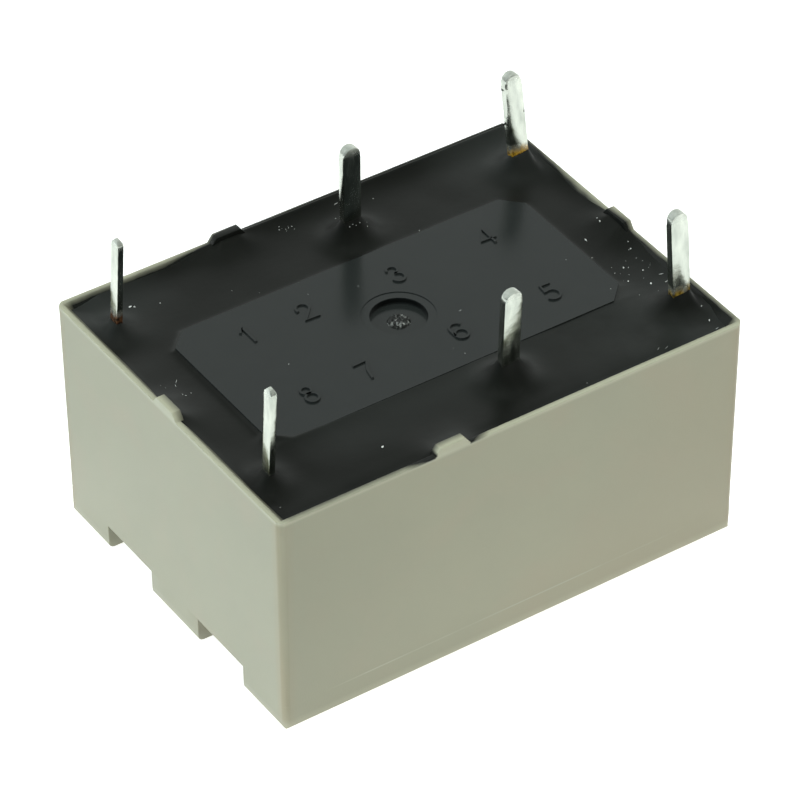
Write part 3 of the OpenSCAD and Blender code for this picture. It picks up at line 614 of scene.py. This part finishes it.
# Painted sheen: lighter grey painted on the resin in broad patches, beside the field, along the near side and
# in the far corners, kept off the pin feet.
resin_sheen = ramp(resin_grid_x, 1.5, 7.5) * ramp(0 - resin_grid_y, 1.0, 4.0) * resin_cloud
far_sheen = ramp(abs(resin_grid_x), 5.5, 8.5) * ramp(resin_grid_y, 3.5, 6.0) * 0.7
near_sheen = ramp(0 - resin_grid_y, 3.0, 3.6) * (1 - ramp(0 - resin_grid_y, 4.5, 6.2)) * 0.4
near_sheen = near_sheen * ramp(resin_grid_x, -7.5, -5.5) * (1 - ramp(resin_grid_x, 1.5, 5.0))
resin_finish.feed(Base_Color=resin_finish.between((resin_sheen + near_sheen) * (1 - pin_feet) + far_sheen, resin_black,
                                                  (0.021, 0.0235, 0.022, 1)),
                  Roughness=ramp(resin_cloud, 0.35, 0.75) * 0.1 + 0.3 + pin_feet * 0.2)
resin_finish.bump(resin_finish.cloud(0.25, 2.0), 0.003)
piece("sealing_resin", resin_shape, resin_finish, BODY, ["sealing_resin"])

# Dust. White flecks and short fibres that the resin caught as it set, most of
# them between the right tab and pin 5; they lie flat on the surface.
dust_finish = Finish("white dust", Roughness=0.7)
dust_cloud = dust_finish.cloud(0.15)
dust_finish.feed(Base_Color=dust_finish.between(dust_cloud, (0.2, 0.21, 0.2, 1), (0.65, 0.67, 0.65, 1)))
chance = random.Random(8)
# Each fleck has its x and y, length and width, and its turn in degrees.
flecks = [(8.33, -0.02, 0.20, 0.07, 80), (-7.68, 6.11, 0.16, 0.09, 20), (-7.55, 6.02, 0.10, 0.08, 60),
          (-4.55, -5.75, 0.14, 0.09, 30), (-8.60, 1.45, 0.30, 0.015, 50), (-8.75, 1.25, 0.22, 0.015, 75),
          (9.42, -3.30, 0.30, 0.03, -15), (9.30, -3.75, 0.20, 0.03, 10), (1.86, 6.97, 0.20, 0.03, 5),
          (2.00, -1.02, 0.16, 0.02, 0), (7.05, -6.80, 0.22, 0.015, 20), (6.75, -6.70, 0.20, 0.015, 35),
          (9.39, -5.75, 0.10, 0.05, 30), (9.25, -6.42, 0.12, 0.05, 60), (9.22, -6.93, 0.16, 0.03, 10),
          (8.78, -3.49, 0.12, 0.04, 70), (9.28, 0.41, 0.09, 0.06, 40)]
specks = [(9.34, -1.45, 0.09), (8.52, -2.13, 0.10), (9.01, -2.68, 0.09), (8.79, -3.47, 0.10),
          (8.19, -2.88, 0.09), (9.46, -1.12, 0.06), (9.32, 0.65, 0.06), (9.29, 0.45, 0.05),
          (8.07, -2.22, 0.05), (7.90, -1.01, 0.06), (1.05, 4.8, 0.05), (1.2, 4.82, 0.06),
          (1.32, 4.78, 0.05), (1.5, 4.8, 0.06), (1.8, 4.75, 0.05), (1.9, 4.95, 0.05)]
flecks += [(x, y, size, size * 0.8, 40) for x, y, size in specks]
# Each drift of fine dust has its middle x and y, its spread and its number of flecks.
dust_drifts = [(8.9, -2.6, 0.7, 18), (2.1, 6.3, 0.45, 12), (-9.0, 0.9, 0.35, 6), (0, 0, 6.0, 26),
               (-0.5, 6.7, 0.2, 9)]
for middle_x, middle_y, spread, fleck_count in dust_drifts:
    for _ in range(fleck_count):
        size = chance.uniform(0.02, 0.055)
        flecks.append((chance.gauss(middle_x, spread), chance.gauss(middle_y, spread), size,
                       size * chance.uniform(0.4, 1.0), chance.uniform(0, 180)))
dust_end_x = 9.5
dust_end_y = 7.0
field_inside = 0.1
vent_clear = 1.3
thickest_fleck = 0.04
flecks = [f for f in flecks if abs(f[0]) < dust_end_x and abs(f[1]) < dust_end_y]
fleck_x = np.array([f[0] for f in flecks])
fleck_y = np.array([f[1] for f in flecks])
on_field = (np.abs(fleck_x) < field_x / MM - field_inside) & (np.abs(fleck_y) < field_y / MM - field_inside)
fleck_heights = np.maximum(resin_surface(fleck_x * MM, fleck_y * MM), np.where(on_field, field_z, 0))
dust_shape = bmesh.new()
for (fx, fy, length, width, turn), fleck_z in zip(flecks, fleck_heights):
    if math.hypot(fx, fy) < vent_clear:
        continue
    fleck_turn = Matrix.Rotation(math.radians(turn), 4, "Z")
    fleck_size = Matrix.Diagonal((length * MM, width * MM, min(width, thickest_fleck) * MM, 1))
    fleck_place = Matrix.Translation((fx * MM, fy * MM, fleck_z)) @ fleck_turn @ fleck_size
    bmesh.ops.create_icosphere(dust_shape, subdivisions=1, radius=0.5, matrix=fleck_place)
piece("dust", dust_shape, dust_finish, BODY)

# Terminals. Stamped from copper strip and dipped in solder, so the pins are
# bright and a little lumpy, with bare copper and flux left at the resin; most
# have been bent a tenth of a millimetre or two in handling.
dip_start = resin_level - 0.1 * MM
inside_top = resin_level / MM - 0.3
pin_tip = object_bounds()[1][2]


def middle_of(shape, height):
    """Middle of a pin at a height, from the points within 0.1 mm of it."""
    near = [v.co for v in shape.verts if abs(v.co.z - height) < 0.1 * MM]
    xs = [c.x for c in near]
    ys = [c.y for c in near]
    return Vector(((min(xs) + max(xs)) / 2, (min(ys) + max(ys)) / 2, height))


def dipped_finish(name, stain, stain_top, dark_flux, light_flux):
    """Bright solder; below stain_top, in millimetres, copper and flux show through where stain is high."""
    finish = Finish(name, Metallic=1.0, Roughness=0.22)
    blotch = finish.cloud(0.3, 3.0, 3.5)
    low = 1 - ramp(finish.part_of_grid("Z") + blotch * 0.5, stain_top - 0.1, stain_top + 0.3)
    mask = low * ramp(finish.cloud(0.2, 3.0), 0.62 - stain, 0.72 - stain)
    tin = finish.between(ramp(blotch, 0.3, 0.7), (0.42, 0.45, 0.405, 1), (0.65, 0.68, 0.615, 1))
    frost = ramp(finish.part_of_grid("Z") + finish.cloud(0.12, 3.0) * 0.3,
                 pin_tip / MM - 0.25, pin_tip / MM + 0.1)
    amber = finish.between(ramp(finish.cloud(0.12, 2.0), 0.35, 0.6), dark_flux, light_flux)
    indoors = 1 - ramp(finish.part_of_grid("Z"), inside_top - 0.15, inside_top)
    copper = finish.between(finish.cloud(0.8, 3.0), (0.56, 0.29, 0.15, 1), (0.68, 0.38, 0.21, 1))
    mask = mask * (1 - indoors)
    finish.feed(Base_Color=finish.between(indoors, finish.between(mask, tin, amber), copper),
                Metallic=1 - mask * 0.7 - frost * 0.55,
                Roughness=ramp(blotch, 0.3, 0.7) * 0.14 + 0.12 + mask * 0.1)
    finish.bump(finish.cloud(0.2, 3.0), 0.004)
    return finish


golden = ((0.08, 0.038, 0.006, 1), (0.58, 0.34, 0.035, 1))
faint_gold = ((0.04, 0.026, 0.006, 1), (0.40, 0.27, 0.045, 1))
brown = ((0.02, 0.010, 0.006, 1), (0.115, 0.052, 0.024, 1))
resin_mm = resin_level / MM
solder = dipped_finish("solder dip", 0.1, resin_mm + 0.6, *golden)
golden_foot = dipped_finish("solder dip with golden foot", 0.56, resin_mm + 1.17, *golden)
faint_foot = dipped_finish("solder dip with faint golden foot", 0.46, resin_mm + 1.05, *faint_gold)
brown_foot = dipped_finish("solder dip with brown foot", 0.40, resin_mm + 1.15, *brown)
dips = {"coil_terminal_1": brown_foot, "contact_terminal_4": golden_foot, "contact_terminal_5": faint_foot}
bends = {"coil_terminal_1": (0.10, 0), "contact_terminal_4": (-0.12, 0), "contact_terminal_5": (-0.10, 0),
         "contact_terminal_6": (0, -0.20), "coil_terminal_8": (0.06, 0)}
pin_slices = 46
tip_taper = 0.45
taper_height = 0.18 * MM
swell_height = 0.3 * MM
solder_skin = 0.010 * MM
for terminal, (px, py, half_x, half_y, _) in pins.items():
    thick = half_x > half_y
    edge_round = (0.05 if thick else 0.03) * MM
    dip_bulge = 0.09 if thick else 0.05
    tip_foot = pin_tip - (0.5 if thick else 0.2) * MM
    tip_passes = 12 if thick else 3
    pin_shape = round_edges(plain_copy(terminal), edge_round, 3)
    slices(pin_shape, 2, [dip_start + (pin_tip - dip_start) * i / pin_slices for i in range(pin_slices)])
    slices(pin_shape, 0, [(px + half_x * k / 4) * MM for k in range(-3, 4)])
    slices(pin_shape, 1, [(py + half_y * k / 3) * MM for k in range(-2, 3)])
    foot, head = (middle_of(pin_shape, z) for z in (dip_start + 0.5 * MM, pin_tip - 0.9 * MM))
    for v in pin_shape.verts:
        swell = min(1, max(0, (v.co.z - dip_start) / swell_height))
        spine = foot + (head - foot) * ((v.co.z - foot.z) / (head.z - foot.z))
        u = (v.co.x - spine.x) / (half_x * MM)
        w = (v.co.y - spine.y) / (half_y * MM)
        v.co.x -= (v.co.x - spine.x) * swell * dip_bulge * half_y / half_x * min(1, w * w)
        v.co.y -= (v.co.y - spine.y) * swell * dip_bulge * half_x / half_y * min(1, u * u)
        if not thick:
            v.co.y -= (v.co.y - spine.y) * tip_taper * max(0, 1 - (pin_tip - v.co.z) / taper_height)
    tip_verts = [v for v in pin_shape.verts if v.co.z > tip_foot]
    for _ in range(tip_passes):
        bmesh.ops.smooth_vert(pin_shape, verts=tip_verts, factor=0.5, use_axis_x=True, use_axis_y=True,
                              use_axis_z=True)
    stretch = (pin_tip - tip_foot) / (max(v.co.z for v in tip_verts) - tip_foot)
    for v in tip_verts:
        v.co.z = tip_foot + (v.co.z - tip_foot) * stretch
    pin_shape.normal_update()
    bend_x, bend_y = bends.get(terminal, (0, 0))
    for v in pin_shape.verts:
        if v.co.z > dip_start:
            lump = noise.noise(v.co * 1.1 / MM) * 0.6 + noise.noise(v.co * 3.0 / MM) * 0.4
            v.co -= v.normal * solder_skin * (1 + lump)
            share = (v.co.z - dip_start) / (pin_tip - dip_start)
            v.co += Vector((bend_x, bend_y, 0)) * share * MM
    piece(terminal, pin_shape, dips.get(terminal, solder), BODY, [terminal])

# Coil. A black moulded bobbin holds the soft iron core and two windings of
# enamelled copper wire, whose ends are wrapped on the two coil posts.
bobbin_finish = Finish("black bobbin plastic", Roughness=0.45)
bobbin_finish.mottle(0.8, (0.015, 0.015, 0.014, 1), (0.022, 0.022, 0.021, 1))
bobbin_finish.bump(bobbin_finish.cloud(0.08, 2.0), 0.004)


def plain_piece(node, rounding, finish, body):
    """A CAD node as it is, with its edges rounded by some millimetres."""
    return piece(node, round_edges(plain_copy(node), rounding * MM), finish, body, [node])


plain_piece("coil_bobbin", 0.06, bobbin_finish, BODY)
iron_finish = Finish("soft iron", Metallic=1.0, Roughness=0.35)
iron_cloud = iron_finish.cloud(0.5, 3.0)
iron_finish.feed(Base_Color=iron_finish.between(iron_cloud, (0.40, 0.40, 0.39, 1), (0.52, 0.52, 0.51, 1)))
plain_piece("core", 0.06, iron_finish, BODY)
wire_finish = Finish("enamelled wire", Metallic=0.85, Roughness=0.3, Coat_Weight=0.5)
# The wave gives the turns their relief; the colour follows it, with painted shade darker in the grooves
# between the turns.
turns_and_groove_shade = wire_finish.grid.make("ShaderNodeTexWave", {"bands_direction": "X"},
                                   {"Vector": wire_finish.grid, "Scale": 4.0, "Distortion": 0.3})
wire_finish.feed(Base_Color=wire_finish.between(turns_and_groove_shade, (0.20, 0.065, 0.018, 1), (0.58, 0.23, 0.075, 1)))
wire_finish.bump(turns_and_groove_shade, 0.03)
for node in ("winding_left", "winding_right"):
    plain_piece(node, 0.03, wire_finish, BODY)
for node in ("coil_lead_1", "coil_lead_8", "coil_crossover"):
    plain_piece(node, 0.0, wire_finish, BODY)

# Armature. A pale moulded rocker carries the magnet between two iron plates
# and turns on its two trunnions; the noses push the contact springs.
rocker_finish = Finish("pale rocker plastic", Roughness=0.4)
rocker_finish.mottle(0.9, (0.63, 0.59, 0.47, 1), (0.69, 0.65, 0.53, 1))
rocker_finish.bump(rocker_finish.cloud(0.08, 2.0), 0.004)
plain_piece("armature_carrier", 0.05, rocker_finish, "armature")
for node in ("armature_plate_front", "armature_plate_rear"):
    plain_piece(node, 0.05, iron_finish, "armature")
ferrite_finish = Finish("ferrite", Roughness=0.55)
ferrite_finish.mottle(0.4, (0.042, 0.042, 0.045, 1), (0.06, 0.06, 0.063, 1))
ferrite_finish.bump(ferrite_finish.cloud(0.1, 3.0), 0.006)
plain_piece("magnet", 0.03, ferrite_finish, "armature")

# Contacts. Leaf springs of copper alloy riveted to their terminals carry silver
# contacts; the make pair stands open at rest and the break pair is closed.
spring_finish = Finish("spring alloy", Metallic=1.0, Roughness=0.28)
spring_cloud = spring_finish.cloud(0.7, 3.0)
spring_finish.feed(Base_Color=spring_finish.between(spring_cloud, (0.66, 0.42, 0.16, 1),
                                                    (0.78, 0.53, 0.22, 1)))
silver_finish = Finish("contact silver", Metallic=1.0, Roughness=0.25)
silver_cloud = silver_finish.cloud(0.3, 3.0)
silver_finish.feed(Base_Color=silver_finish.between(silver_cloud, (0.80, 0.79, 0.75, 1),
                                                    (0.90, 0.89, 0.86, 1)))
for pair in ("make", "break"):
    blade = pair + "_blade"
    plain_piece(pair + "_spring", 0.015, spring_finish, blade)
    plain_piece(pair + "_moving_contact", 0.03, silver_finish, blade)
    plain_piece(pair + "_fixed_contact", 0.03, silver_finish, BODY)
    plain_piece(pair + "_spring_rivet", 0.03, spring_finish, BODY)
